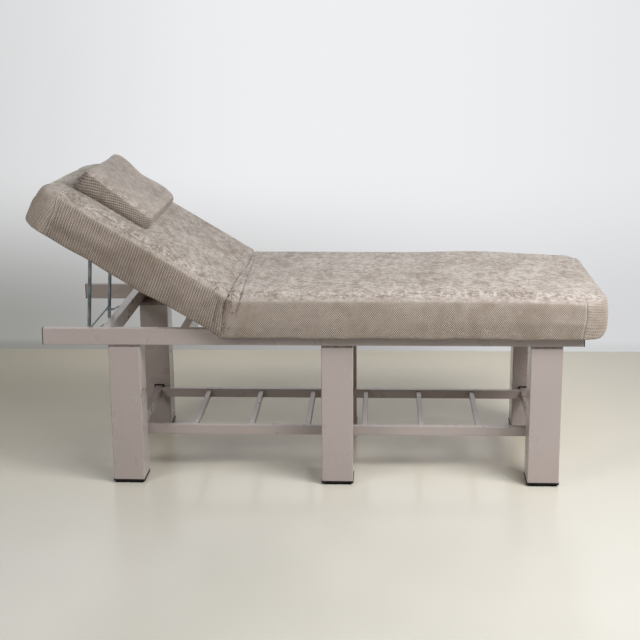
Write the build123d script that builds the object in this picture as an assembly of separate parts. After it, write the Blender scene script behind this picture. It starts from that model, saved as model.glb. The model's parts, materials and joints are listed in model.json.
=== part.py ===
from build123d import *
import math
import os

# Beauty bed, millimetres, +X towards the foot end, +Z up, floor at Z = 0.
# The seat pad lies flat, and the backrest stands raised on its prop.
# "right" is the -Y side, which is the right hand of someone lying on the bed.

# Small running values
overrun = 1.0
sliding_gap = 0.3
hinge_fit = 0.05
screw_fit = 0.05

# Whole bed
frame_width = 636.0
rail_bottom = 441.5
pad_width = 704.0
recline = 31.5

# Side rails and crossbars
rail_length = 1620.0
rail_height = 50.0
rail_width = 25.0
tube_wall = 1.5
tube_corner = 2.0
head_crossbar_from_end = 190.0
fold_crossbar_from_hinge = 124.0
seat_crossbar_count = 4
seat_crossbar_first_from_hinge = 60.0
seat_crossbar_last_from_end = 60.0
hinge_from_rail_end = 550.5
plug_flange = 2.5
plug_depth = 15.0
plug_wall = 2.0

# Legs
leg_side = 95.0
leg_wall = 2.0
leg_corner = 3.0
leg_places = {"head": 243.5, "middle": 886.5, "foot": 1512.5}
top_plate_thickness = 7.0
top_plate_inset = 1.0
foot_flange_height = 6.0
foot_flange_proud = 1.5
foot_pad_height = 6.0
foot_pad_inset = 5.0
foot_spigot_depth = 20.0
foot_spigot_wall = 3.0

# Leg bolts
leg_bolt_radius = 4.0
leg_bolt_hole_radius = 4.5
leg_bolt_spacing = 50.0
bolt_head_radius = 7.5
bolt_head_height = 5.3
leg_nut_height = 8.0

# Shelf
shelf_bottom = 122.0
shelf_rail_height = 29.5
shelf_rail_width = 20.0
shelf_rail_gap_to_leg = 19.0
shelf_end_width = 25.0
shelf_end_inboard = 10.5
slat_count = 6
slat_width = 16.0
slat_height = 20.0
slat_drop = 5.0
shelf_plug_flange = 3.0
shelf_plug_flange_proud = 4.0
shelf_plug_depth = 14.0
shelf_bolt_radius = 3.0
shelf_bolt_head_radius = 5.5
shelf_bolt_head_height = 4.0
shelf_bolt_reach = 12.0

# Boards under the foam
board_thickness = 15.0
board_gap = 0.8

# Foam and covers
seat_length = 1137.0
backrest_length = 686.0
pad_height = 116.0
skirt_drop = 20.0
skirt_gap = 2.0
pad_corner = 75.0
pad_edge_roll = 34.0
pad_end_roll_share = 2.0
pad_crown = 5.0
pad_draw_in = 5.0
pad_upper_draw_in_share = 0.25
pad_widest_share = 1 / 3
pad_smallest_corner_share = 1 / 3
pad_past_fold_share = 3.0
cover_thickness = 3.5
cover_gap = 0.3
fold_gap = 1.0

# Face hole
face_hole_length = 140.0
face_hole_width = 112.0
face_hole_from_end = 124.0

# Pillow
pillow_length = 500.0
pillow_width = 256.0
pillow_height = 47.0
pillow_corner = 26.0
pillow_edge_roll = 15.0
pillow_end_roll_share = 1.0
pillow_crown = 9.0
pillow_draw_in = 2.0
pillow_from_end = 203.0

# Hinges at the fold
hinge_pin_radius = 2.2
hinge_knuckle_radius = 4.0
hinge_leaf_thickness = 2.0
hinge_leaf_width = 34.0
hinge_leaf_length = 60.0
hinge_knuckle_count = 3
hinge_knuckle_gap = 0.4
hinge_knuckle_clearance = 0.2
hinge_leaf_setback = 4.8
hinge_spacing = 240.0
hinge_pin_head_radius = 3.4
hinge_pin_head_height = 1.2
wood_screw_radius = 1.9
wood_screw_head_radius = 3.6
wood_screw_head_height = 1.6
wood_screw_length = 12.0
hinge_screw_margin = 10.0

# Board screws up through the seat crossbars
board_screw_radius = 2.4
board_screw_head_radius = 4.6
board_screw_head_height = 2.4
board_screw_bite = 10.0
board_screw_side = 200.0

# Prop that holds the backrest up
prop_rod_radius = 5.6
prop_bend_radius = 18.0
prop_width = 321.0
prop_pivot_from_hinge = 489.0
prop_pivot_drop = 24.0
prop_tilt = 3.5
prop_foot_below_bar = 44.0
prop_bar_radius = 3.0
prop_bar_rise = 7.5
prop_bar_proud = 1.0
clamp_side = 95.0
clamp_width = 22.0
clamp_wall = 3.0
clamp_ear = 13.0
catch_side = 125.0
catch_width = 20.0
catch_thickness = 3.0
catch_flange_height = 24.0
catch_step_clearance = 3.0
catch_end_short_of_bar = 1.0
catch_slope = 10.0
catch_step_from_bar = 26.0
catch_step_run = 8.0
catch_step_rise = 7.0
catch_bolt_bite = 9.0
catch_bolt_radius = 3.0
catch_bolt_head_radius = 5.5
catch_bolt_head_height = 4.0

# Heights and places that follow from the sizes above
half_frame = frame_width / 2
rail_top = rail_bottom + rail_height
rail_inner = half_frame - rail_width
leg_inner = half_frame - leg_side
hinge_drop = hinge_knuckle_radius + hinge_knuckle_clearance
hinge_z = rail_top - hinge_drop
sin_recline = math.sin(math.radians(recline))
cos_recline = math.cos(math.radians(recline))
backrest_reach = (backrest_length - pad_draw_in) * cos_recline + (skirt_drop - hinge_drop) * sin_recline
hinge_x = (backrest_reach - seat_length) / 2
rail_head_x = hinge_x - hinge_from_rail_end
rail_foot_x = rail_head_x + rail_length
head_crossbar_x = rail_head_x + head_crossbar_from_end
fold_crossbar_x = hinge_x - fold_crossbar_from_hinge
leg_bottom = foot_pad_height + foot_flange_height
leg_top = rail_bottom - top_plate_thickness
leg_x = {name: rail_head_x + place for name, place in leg_places.items()}
sides = {"right": -1, "left": 1}
shelf_top = shelf_bottom + shelf_rail_height
shelf_rail_outer = leg_inner - shelf_rail_gap_to_leg
shelf_rail_inner = shelf_rail_outer - shelf_rail_width
shelf_head_x = leg_x["head"] + shelf_end_inboard
shelf_foot_x = leg_x["foot"] - shelf_end_inboard
half_board = pad_width / 2 - pad_draw_in - cover_thickness - board_gap
fold_lean = math.tan(math.radians(recline / 2))
pad_past_fold = pad_past_fold_share * pad_corner
prop_pivot_below_hinge = prop_pivot_drop - hinge_drop
prop_pivot_x = hinge_x - prop_pivot_from_hinge * cos_recline - prop_pivot_below_hinge * sin_recline
prop_pivot_z = hinge_z + prop_pivot_from_hinge * sin_recline - prop_pivot_below_hinge * cos_recline
prop_bar_height = rail_bottom + prop_bar_rise
prop_foot_height = prop_bar_height - prop_foot_below_bar
catch_rest = prop_bar_height - prop_bar_radius - catch_step_clearance
catch_fall = math.tan(math.radians(catch_slope))
catch_step_foot = catch_rest + catch_step_from_bar * catch_fall
catch_top = catch_step_foot + catch_step_rise


def block(x_span, y_span, z_span):
    """A box between two values on each axis."""
    size = [abs(span[1] - span[0]) for span in (x_span, y_span, z_span)]
    middle = [(span[0] + span[1]) / 2 for span in (x_span, y_span, z_span)]
    return Pos(*middle) * Box(*size)


def around(middle, size):
    """The span of one axis that has this middle and size."""
    return (middle - size / 2, middle + size / 2)


def rod(radius, start, length, axis):
    """A round rod from a start point along an axis letter, or back along it if length is negative."""
    turn = {"x": Rot(0, 90, 0), "y": Rot(-90, 0, 0), "z": Rot(0, 0, 0)}[axis]
    shift = {"x": (length / 2, 0, 0), "y": (0, length / 2, 0), "z": (0, 0, length / 2)}[axis]
    return Pos(*start) * Pos(*shift) * turn * Cylinder(radius, abs(length))


def hexagon_head(radius, height, start, axis):
    """A six-sided bolt head or nut that stands on a start point along an axis letter."""
    turn = {"x": Rot(0, 90, 0), "y": Rot(-90, 0, 0), "z": Rot(0, 0, 0)}[axis]
    outline = RegularPolygon(radius, 6)
    return Pos(*start) * turn * extrude(outline, height)


def tube_along(axis, x_span, y_span, z_span):
    """A rectangular tube with rounded corners, open at both ends, along X or Y."""
    along = {"x": x_span, "y": y_span}[axis]
    across = {"x": y_span, "y": x_span}[axis]
    size = (across[1] - across[0], z_span[1] - z_span[0])
    outline = RectangleRounded(*size, tube_corner)
    bore = RectangleRounded(size[0] - 2 * tube_wall, size[1] - 2 * tube_wall, tube_corner - tube_wall)
    turn = {"x": Rot(0, 0, 90) * Rot(90, 0, 0), "y": Rot(90, 0, 0)}[axis]
    middle = [(span[0] + span[1]) / 2 for span in (x_span, y_span, z_span)]
    return Pos(*middle) * turn * extrude(outline - bore, (along[1] - along[0]) / 2, both=True)


def group(solids):
    """Several separate solids as one node."""
    return Compound(children=list(solids))


def seat_crossbar_places():
    """Crossbar middles under the seat board, evenly spaced."""
    first = hinge_x + seat_crossbar_first_from_hinge
    last = rail_foot_x - seat_crossbar_last_from_end
    step = (last - first) / (seat_crossbar_count - 1)
    return [first + index * step for index in range(seat_crossbar_count)]


def leg_bolt_places():
    """Each leg's bolts: along X on the middle line of the rail above."""
    places = []
    for x in leg_x.values():
        for side in sides.values():
            for shift in (-leg_bolt_spacing / 2, leg_bolt_spacing / 2):
                places.append((x + shift, side * (half_frame - rail_width / 2)))
    return places


def side_rails():
    """The two long rails, with the leg bolts' holes in their lower walls."""
    nodes = {}
    for name, side in sides.items():
        y_span = sorted((side * half_frame, side * rail_inner))
        rail = tube_along("x", (rail_head_x, rail_foot_x), y_span, (rail_bottom, rail_top))
        for x, y in leg_bolt_places():
            if y * side > 0:
                hole_start = (x, y, rail_bottom - overrun)
                rail -= rod(leg_bolt_hole_radius, hole_start, tube_wall + 2 * overrun, "z")
        nodes["side_rail_" + name] = rail
    return nodes


def end_plug(x, outward, y_span, z_span, flange, depth, wall):
    """A plug in the end of a tube along X: a flange and a hollow spigot."""
    plug = block(sorted((x, x + outward * flange)), y_span, z_span)
    play = tube_wall + sliding_gap
    inner_y = (y_span[0] + play, y_span[1] - play)
    inner_z = (z_span[0] + play, z_span[1] - play)
    spigot = block(sorted((x, x - outward * depth)), inner_y, inner_z)
    hollow_y = (inner_y[0] + wall, inner_y[1] - wall)
    hollow_z = (inner_z[0] + wall, inner_z[1] - wall)
    hollow = block(sorted((x, x - outward * (depth + overrun))), hollow_y, hollow_z)
    return plug + (spigot - hollow)


def rail_end_plugs():
    """The four plugs in the ends of the side rails."""
    plugs = []
    for side in sides.values():
        y_span = sorted((side * half_frame, side * rail_inner))
        for x, outward in ((rail_head_x, -1), (rail_foot_x, 1)):
            z_span = (rail_bottom, rail_top)
            plugs.append(end_plug(x, outward, y_span, z_span, plug_flange, plug_depth, plug_wall))
    return {"rail_end_plugs": group(plugs)}


def crossbar(x):
    """One crossbar between the side rails."""
    return tube_along("y", around(x, rail_width), (-rail_inner, rail_inner), (rail_bottom, rail_top))


def crossbars():
    """The head, fold and seat crossbars, with their screw and bolt holes."""
    head = crossbar(head_crossbar_x)
    for x, y, z in catch_bolt_places():
        start = (x - overrun, y, z)
        head -= rod(catch_bolt_radius + screw_fit, start, tube_wall + 2 * overrun, "x")
    nodes = {"head_crossbar": head, "fold_crossbar": crossbar(fold_crossbar_x)}
    for number, x in enumerate(seat_crossbar_places(), start=1):
        bar = crossbar(x)
        for side in sides.values():
            start = (x, side * board_screw_side, rail_bottom - overrun)
            bar -= rod(board_screw_radius + screw_fit, start, rail_height + 2 * overrun, "z")
        nodes["seat_crossbar_" + str(number)] = bar
    return nodes


def shelf_bolt_places():
    """Where the shelf's end members meet the head and foot legs: x, side and height of each bolt."""
    middle_z = (shelf_bottom + shelf_top) / 2
    return [(x, side, middle_z) for x in (shelf_head_x, shelf_foot_x) for side in sides.values()]


def legs():
    """The six box legs, with a hole for each shelf bolt."""
    nodes = {}
    for place, x in leg_x.items():
        for name, side in sides.items():
            y = side * (half_frame - leg_side / 2)
            outline = RectangleRounded(leg_side, leg_side, leg_corner)
            bore_side = leg_side - 2 * leg_wall
            bore = RectangleRounded(bore_side, bore_side, leg_corner - leg_wall)
            leg = Pos(x, y, leg_bottom) * extrude(outline - bore, leg_top - leg_bottom)
            for bolt_x, bolt_side, bolt_z in shelf_bolt_places():
                if bolt_side == side and abs(bolt_x - x) < leg_side / 2:
                    start = (bolt_x, side * (leg_inner - overrun), bolt_z)
                    length = side * (leg_wall + 2 * overrun)
                    leg -= rod(shelf_bolt_radius + screw_fit, start, length, "y")
            nodes["leg_" + place + "_" + name] = leg
    return nodes


def leg_top_plates():
    """The inset plate that closes each leg under its rail."""
    plates = []
    for x in leg_x.values():
        for side in sides.values():
            y = side * (half_frame - leg_side / 2)
            size = leg_side - 2 * top_plate_inset
            outline = RectangleRounded(size, size, leg_corner - top_plate_inset)
            plate = Pos(x, y, leg_top) * extrude(outline, top_plate_thickness)
            for bolt_x, bolt_y in leg_bolt_places():
                if bolt_y * side > 0 and abs(bolt_x - x) < leg_side / 2:
                    start = (bolt_x, bolt_y, leg_top - overrun)
                    length = top_plate_thickness + 2 * overrun
                    plate -= rod(leg_bolt_hole_radius, start, length, "z")
            plates.append(plate)
    return {"leg_top_plates": group(plates)}


def foot_caps():
    """The two-step plastic cap under each leg, with its spigot inside the leg."""
    nodes = {}
    for place, x in leg_x.items():
        for name, side in sides.items():
            y = side * (half_frame - leg_side / 2)
            pad_side = leg_side - 2 * foot_pad_inset
            pad = extrude(RectangleRounded(pad_side, pad_side, leg_corner), foot_pad_height)
            flange_side = leg_side + 2 * foot_flange_proud
            flange_outline = RectangleRounded(flange_side, flange_side, leg_corner + foot_flange_proud)
            flange = Pos(0, 0, foot_pad_height) * extrude(flange_outline, foot_flange_height)
            spigot_side = leg_side - 2 * (leg_wall + sliding_gap)
            hollow_side = spigot_side - 2 * foot_spigot_wall
            ring = Rectangle(spigot_side, spigot_side) - Rectangle(hollow_side, hollow_side)
            spigot = Pos(0, 0, leg_bottom) * extrude(ring, foot_spigot_depth)
            nodes["foot_cap_" + place + "_" + name] = Pos(x, y, 0) * (pad + flange + spigot)
    return nodes


def leg_fasteners():
    """The bolts up through the leg plates into the rails, and their nuts."""
    bolts = []
    nuts = []
    for x, y in leg_bolt_places():
        head = hexagon_head(bolt_head_radius, bolt_head_height, (x, y, leg_top - bolt_head_height), "z")
        nut_bottom = rail_bottom + tube_wall
        shank_length = nut_bottom + leg_nut_height - leg_top
        bolts.append(head + rod(leg_bolt_radius, (x, y, leg_top), shank_length, "z"))
        nut = hexagon_head(bolt_head_radius, leg_nut_height, (x, y, nut_bottom), "z")
        bore_start = (x, y, nut_bottom - overrun)
        nuts.append(nut - rod(leg_bolt_radius + screw_fit, bore_start, leg_nut_height + 2 * overrun, "z"))
    return {"leg_bolts": group(bolts), "leg_nuts": group(nuts)}


def shelf_rails():
    """The two long members of the shelf, between its end members."""
    nodes = {}
    x_span = (shelf_head_x + shelf_end_width / 2, shelf_foot_x - shelf_end_width / 2)
    for name, side in sides.items():
        y_span = sorted((side * shelf_rail_outer, side * shelf_rail_inner))
        nodes["shelf_rail_" + name] = tube_along("x", x_span, y_span, (shelf_bottom, shelf_top))
    return nodes


def shelf_slats():
    """The slats between the shelf's long members, evenly spaced between its ends."""
    nodes = {}
    step = (shelf_foot_x - shelf_head_x) / (slat_count + 1)
    slat_top = shelf_top - slat_drop
    for number in range(1, slat_count + 1):
        x_span = around(shelf_head_x + number * step, slat_width)
        y_span = (-shelf_rail_inner, shelf_rail_inner)
        z_span = (slat_top - slat_height, slat_top)
        nodes["shelf_slat_" + str(number)] = tube_along("y", x_span, y_span, z_span)
    return nodes


def shelf_ends():
    """The shelf's end members between the legs, their plugs and the bolts that hold them."""
    member_end = leg_inner - shelf_plug_flange
    nodes = {}
    for name, x in (("head", shelf_head_x), ("foot", shelf_foot_x)):
        y_span = (-member_end, member_end)
        nodes["shelf_end_" + name] = tube_along(
            "y", around(x, shelf_end_width), y_span, (shelf_bottom, shelf_top))
    plugs = []
    bolts = []
    for x, side, z in shelf_bolt_places():
        flange_y = sorted((side * leg_inner, side * member_end))
        flange_z = (shelf_bottom - shelf_plug_flange_proud, shelf_top + shelf_plug_flange_proud)
        flange = block(around(x, shelf_end_width + 2 * shelf_plug_flange_proud), flange_y, flange_z)
        play = 2 * (tube_wall + sliding_gap)
        spigot_y = sorted((side * member_end, side * (member_end - shelf_plug_depth)))
        spigot = block(around(x, shelf_end_width - play), spigot_y, around(z, shelf_rail_height - play))
        bore_start = (x, side * (leg_inner + overrun), z)
        bore_length = -side * (overrun + shelf_bolt_reach)
        plugs.append(flange + spigot - rod(shelf_bolt_radius + screw_fit, bore_start, bore_length, "y"))
        head_face = leg_inner + leg_wall
        shank_length = leg_wall + shelf_bolt_reach - overrun
        shank = rod(shelf_bolt_radius, (x, side * head_face, z), -side * shank_length, "y")
        head = rod(shelf_bolt_head_radius, (x, side * head_face, z), side * shelf_bolt_head_height, "y")
        bolts.append(head + shank)
    nodes["shelf_end_plugs"] = group(plugs)
    nodes["shelf_bolts"] = group(bolts)
    return nodes


def pad_levels(height, skirt, edge_roll, end_roll_share, crown, draw_in, half_width):
    """Heights of a pad's side and top, each with how far its sides and its far end are drawn in there."""
    edge_top = height - crown
    edge_start = edge_top - edge_roll
    widest = edge_start * pad_widest_share
    upper_draw_in = draw_in * pad_upper_draw_in_share
    levels = [(-skirt, draw_in, draw_in), (widest, 0, 0), (edge_start, upper_draw_in, upper_draw_in)]
    for turn in (22, 45, 67, 85):
        rise = edge_roll * math.sin(math.radians(turn))
        rolled = edge_roll * (1 - math.cos(math.radians(turn)))
        levels.append((edge_start + rise, upper_draw_in + rolled, upper_draw_in + end_roll_share * rolled))
    side_start, end_start = levels[-1][1:]
    crown_shares = (0.15, 0.35, 0.65)
    full_rise = 1 - (1 - crown_shares[-1]) ** 2
    for width_share in crown_shares:
        rise = crown * (1 - (1 - width_share) ** 2) / full_rise
        run = width_share * (half_width - side_start)
        levels.append((edge_top + rise, side_start + run, end_start + run))
    return levels


def pad_form(length, width, corner, levels, inset):
    """A pad with drawn-in sides, a rolled edge and a crown, inset all over by one distance."""
    smallest_corner = corner * pad_smallest_corner_share
    top = levels[-1][0]
    sections = []
    for height, side_in, end_in in levels:
        lowered = inset * height / top if height > 0 else 0
        outline_length = length - side_in - end_in - 2 * inset
        outline_width = width - 2 * (side_in + inset)
        outline_corner = max(corner - side_in - inset, smallest_corner)
        outline = RectangleRounded(outline_length, outline_width, outline_corner)
        sections.append(Pos((side_in - end_in) / 2, 0, height - lowered) * outline)
    return loft(sections, ruled=True)


def fold_edge(height, inset):
    """How far from the hinge line a pad starts at one height above its board's underside."""
    above_hinge = max(height + hinge_drop, 0)
    return fold_gap / 2 + above_hinge * fold_lean + inset / math.cos(math.radians(recline / 2))


def fold_cutter(inset):
    """What is cut from a pad that runs towards +X from the hinge line, up to its leaning fold face."""
    low = -skirt_drop - overrun
    high = pad_height + overrun
    back = -pad_past_fold - pad_corner
    outline = Polyline(
        (fold_edge(low, inset), low),
        (fold_edge(-hinge_drop, inset), -hinge_drop),
        (fold_edge(high, inset), high),
        (back, high),
        (back, low),
        close=True,
    )
    return extrude(make_face(Plane.XZ * outline), pad_width, both=True)


def flat_pad(length, inset):
    """A seat or backrest pad towards +X from the hinge line, with Z = 0 at its board's underside."""
    levels = pad_levels(
        pad_height, skirt_drop, pad_edge_roll, pad_end_roll_share, pad_crown, pad_draw_in, pad_width / 2)
    if inset > 0:
        levels[0] = (-skirt_drop - overrun, pad_draw_in, pad_draw_in)
    whole_length = length + pad_past_fold
    form = pad_form(whole_length, pad_width, pad_corner, levels, inset)
    return Pos(length - whole_length / 2, 0, 0) * form - fold_cutter(inset)


def face_hole(grow, low, high):
    """The oval of the face hole, larger all round by one distance, between two heights."""
    oval = Ellipse(face_hole_length / 2 + grow, face_hole_width / 2 + grow)
    return Pos(backrest_length - face_hole_from_end, 0, low) * extrude(oval, high - low)


def flat_board(length):
    """A board towards +X from the hinge line, with its far corners rounded, and Z = 0 at its underside."""
    near = fold_edge(board_thickness, cover_thickness) + board_gap
    far = length - pad_draw_in - cover_thickness - board_gap
    corner = pad_corner - pad_draw_in - cover_thickness - board_gap
    square = block((near, far - corner), (-half_board, half_board), (0, board_thickness))
    end = block((far - corner, far), (corner - half_board, half_board - corner), (0, board_thickness))
    board = square + end
    for side in sides.values():
        middle = (far - corner, side * (half_board - corner), 0)
        board += rod(corner, middle, board_thickness, "z")
    return board


def flat_upholstery(length, with_hole):
    """The foam block and the cover over it, in the same place as their board."""
    high = pad_height + overrun
    outer = flat_pad(length, 0)
    between_rails = around(0, frame_width + 2 * skirt_gap)
    fold_skirt = block((-pad_corner, pad_corner), between_rails, (-skirt_drop - overrun, 0))
    cover = outer - flat_pad(length, cover_thickness) - fold_skirt
    foam = flat_pad(length, cover_thickness + cover_gap)
    below_foam = (-skirt_drop - 2 * overrun, board_thickness)
    foam -= block((-pad_corner, length), (-pad_width, pad_width), below_foam)
    if with_hole:
        cover += outer & face_hole(cover_thickness, 0, high)
        cover -= face_hole(0, -skirt_drop - overrun, high)
        foam -= face_hole(cover_thickness + cover_gap, 0, high)
    return foam, cover


def at_hinge(shape):
    """Moves a piece that is drawn on the hinge line to the hinge's place, with Z = 0 at the board."""
    return Pos(hinge_x, 0, hinge_z + hinge_drop) * shape


def raised(shape):
    """Turns a piece that is drawn flat towards +X over to the head end, and raises it by the recline."""
    turned = Rot(0, 0, 180) * shape
    return Pos(hinge_x, 0, hinge_z) * Rot(0, recline, 0) * Pos(0, 0, hinge_drop) * turned


def hinge_screw_places():
    """The screws of every fold hinge: distance from the hinge line, and Y."""
    distance = hinge_leaf_width - hinge_screw_margin
    reach = hinge_leaf_length / 2 - hinge_screw_margin
    places = []
    for hinge_y in (-hinge_spacing, 0, hinge_spacing):
        places += [(distance, hinge_y + step) for step in (-reach, 0, reach)]
    return places


def screw(radius, head_radius, head_height, length, place):
    """A pan-head screw that points up, with its head under the given place."""
    x, y, z = place
    head = rod(head_radius, (x, y, z - head_height), head_height, "z")
    return head + rod(radius, place, length, "z")


def wood_screw(place):
    """A short wood screw up into a board."""
    return screw(wood_screw_radius, wood_screw_head_radius, wood_screw_head_height, wood_screw_length, place)


def hinge_leaf(own_knuckles):
    """One leaf towards +X from the hinge line, with its share of the knuckles, and Z = 0 at the board."""
    leaf_z = (-hinge_leaf_thickness, 0)
    leaf = block((hinge_leaf_setback, hinge_leaf_width), around(0, hinge_leaf_length), leaf_z)
    pitch = hinge_leaf_length / hinge_knuckle_count
    for index in own_knuckles:
        start = -hinge_leaf_length / 2 + index * pitch + hinge_knuckle_gap / 2
        length = pitch - hinge_knuckle_gap
        leaf += block((0, hinge_leaf_setback), (start, start + length), leaf_z)
        leaf += rod(hinge_knuckle_radius, (0, start, -hinge_drop), length, "y")
    bore_start = (0, -hinge_leaf_length / 2 - overrun, -hinge_drop)
    return leaf - rod(hinge_pin_radius + hinge_fit, bore_start, hinge_leaf_length + 2 * overrun, "y")


def hinge_leaves(own_knuckles):
    """The same leaf at each of the three hinges, with its screw holes."""
    leaves = []
    for hinge_y in (-hinge_spacing, 0, hinge_spacing):
        leaf = Pos(0, hinge_y, 0) * hinge_leaf(own_knuckles)
        for x, y in hinge_screw_places():
            if abs(y - hinge_y) < hinge_leaf_length / 2:
                start = (x, y, -hinge_leaf_thickness - overrun)
                leaf -= rod(wood_screw_radius + screw_fit, start, hinge_leaf_thickness + 2 * overrun, "z")
        leaves.append(leaf)
    return leaves


def hinge_pins():
    """The pin of each hinge, with its two heads."""
    pins = []
    half = hinge_leaf_length / 2
    for hinge_y in (-hinge_spacing, 0, hinge_spacing):
        pin = rod(hinge_pin_radius, (0, hinge_y - half, -hinge_drop), hinge_leaf_length, "y")
        for side in sides.values():
            start = (0, hinge_y + side * half, -hinge_drop)
            pin += rod(hinge_pin_head_radius, start, side * hinge_pin_head_height, "y")
        pins.append(pin)
    return pins


def hinge_screws():
    """The wood screws of one side of the three hinges."""
    return [wood_screw((x, y, -hinge_leaf_thickness)) for x, y in hinge_screw_places()]


def hinge_pilot_holes():
    """The holes that the hinge screws need in a board."""
    depth = wood_screw_length - hinge_leaf_thickness + overrun
    holes = []
    for x, y in hinge_screw_places():
        holes.append(rod(wood_screw_radius + screw_fit, (x, y, -overrun), depth + overrun, "z"))
    return holes


def board_screw_places():
    """The screws up through the seat crossbars: X and Y."""
    return [(x, side * board_screw_side) for x in seat_crossbar_places() for side in sides.values()]


def seat():
    """The seat's board, foam, cover, hinge leaves and screws."""
    board = flat_board(seat_length)
    for hole in hinge_pilot_holes():
        board -= hole
    board = at_hinge(board)
    board_screws = []
    for x, y in board_screw_places():
        hole_start = (x, y, rail_top - overrun)
        board -= rod(board_screw_radius + screw_fit, hole_start, board_screw_bite + 2 * overrun, "z")
        board_screws.append(screw(board_screw_radius, board_screw_head_radius, board_screw_head_height,
                                  rail_height + board_screw_bite, (x, y, rail_bottom)))
    foam, cover = flat_upholstery(seat_length, False)
    return {
        "seat_board": board,
        "seat_foam": at_hinge(foam),
        "seat_cover": at_hinge(cover),
        "board_screws": group(board_screws),
        "hinge_leaves_seat": group(at_hinge(leaf) for leaf in hinge_leaves((0, 2))),
        "hinge_screws_seat": group(at_hinge(one) for one in hinge_screws()),
        "hinge_pins": group(at_hinge(pin) for pin in hinge_pins()),
    }


def clamp_screw_places():
    """The screws in the ears of the prop's clamps: distance from the hinge line, and Y."""
    ear_middle = prop_rod_radius + clamp_wall + clamp_ear / 2
    places = []
    for side in sides.values():
        places += [(prop_pivot_from_hinge + step, side * clamp_side) for step in (-ear_middle, ear_middle)]
    return places


def prop_clamps():
    """The saddle clamps under the backrest board that the prop turns in."""
    half = prop_rod_radius + clamp_wall
    clamps = []
    for side in sides.values():
        y_span = around(side * clamp_side, clamp_width)
        saddle = block(around(prop_pivot_from_hinge, 2 * half), y_span, (-prop_pivot_drop, 0))
        ears = block(around(prop_pivot_from_hinge, 2 * (half + clamp_ear)), y_span, (-clamp_wall, 0))
        round_start = (prop_pivot_from_hinge, y_span[0], -prop_pivot_drop)
        clamp = saddle + ears + rod(half, round_start, clamp_width, "y")
        bore_start = (prop_pivot_from_hinge, y_span[0] - overrun, -prop_pivot_drop)
        clamp -= rod(prop_rod_radius + hinge_fit, bore_start, clamp_width + 2 * overrun, "y")
        for x, y in clamp_screw_places():
            if y * side > 0:
                start = (x, y, -clamp_wall - overrun)
                clamp -= rod(wood_screw_radius + screw_fit, start, clamp_wall + 2 * overrun, "z")
        clamps.append(clamp)
    return clamps


def clamp_screws():
    """The wood screws in the clamps' ears."""
    return [wood_screw((x, y, -clamp_wall)) for x, y in clamp_screw_places()]


def backrest():
    """The backrest's board, foam, cover, hinge leaves and prop clamps, raised by the recline."""
    board = flat_board(backrest_length)
    board -= face_hole(cover_thickness + board_gap, -overrun, board_thickness + overrun)
    for hole in hinge_pilot_holes():
        board -= hole
    for x, y in clamp_screw_places():
        depth = wood_screw_length - clamp_wall + overrun
        board -= rod(wood_screw_radius + screw_fit, (x, y, -overrun), depth + overrun, "z")
    foam, cover = flat_upholstery(backrest_length, True)
    return {
        "backrest_board": raised(board),
        "backrest_foam": raised(foam),
        "backrest_cover": raised(cover),
        "hinge_leaves_backrest": group(raised(leaf) for leaf in hinge_leaves((1,))),
        "hinge_screws_backrest": group(raised(one) for one in hinge_screws()),
        "prop_clamps": group(raised(clamp) for clamp in prop_clamps()),
        "prop_clamp_screws": group(raised(one) for one in clamp_screws()),
    }


def pillow_form(inset):
    """The pillow's form, inset all over by one distance, with Z = 0 at the pad's top."""
    levels = pad_levels(pillow_height, 0, pillow_edge_roll, pillow_end_roll_share, pillow_crown,
                        pillow_draw_in, pillow_width / 2)
    lifted = [(max(height, inset), side_in, end_in) for height, side_in, end_in in levels]
    form = pad_form(pillow_width, pillow_length, pillow_corner, lifted, inset)
    return Pos(backrest_length - pillow_from_end, 0, pad_height + cover_gap) * form


def pillow():
    """The loose pillow on the backrest: its cover and its filling."""
    cover = pillow_form(0) - pillow_form(cover_thickness)
    filling = pillow_form(cover_thickness + cover_gap)
    return {"pillow_cover": raised(cover), "pillow_filling": raised(filling)}


def prop():
    """The U-shaped rod that stands under the backrest, and its thin lower bar."""
    side_y = prop_width / 2
    drop = (prop_pivot_z - prop_foot_height) / math.cos(math.radians(prop_tilt))
    path = FilletPolyline((0, -side_y, -drop), (0, -side_y, 0), (0, side_y, 0), (0, side_y, -drop),
                          radius=prop_bend_radius)
    section = Pos(0, -side_y, -drop) * Circle(prop_rod_radius)
    bent_rod = sweep(section, path=path)
    bar_drop = (prop_pivot_z - prop_bar_height) / math.cos(math.radians(prop_tilt))
    bar_end = side_y + prop_rod_radius + prop_bar_proud
    bar = rod(prop_bar_radius, (0, -bar_end, -bar_drop), 2 * bar_end, "y")
    bent_rod -= rod(prop_bar_radius + screw_fit, (0, -bar_end, -bar_drop), 2 * bar_end, "y")
    place = Pos(prop_pivot_x, 0, prop_pivot_z) * Rot(0, prop_tilt, 0)
    return {"prop_rod": place * bent_rod, "prop_foot_bar": place * bar}


def prop_bar_x():
    """Where the prop's lower bar is, from the prop's pivot and tilt."""
    return prop_pivot_x - (prop_pivot_z - prop_bar_height) * math.tan(math.radians(prop_tilt))


def catch_bolt_places():
    """The bolts through the head face of the head crossbar, one for each catch."""
    x = head_crossbar_x - rail_width / 2
    return [(x, side * catch_side, catch_top + catch_flange_height / 2) for side in sides.values()]


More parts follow.
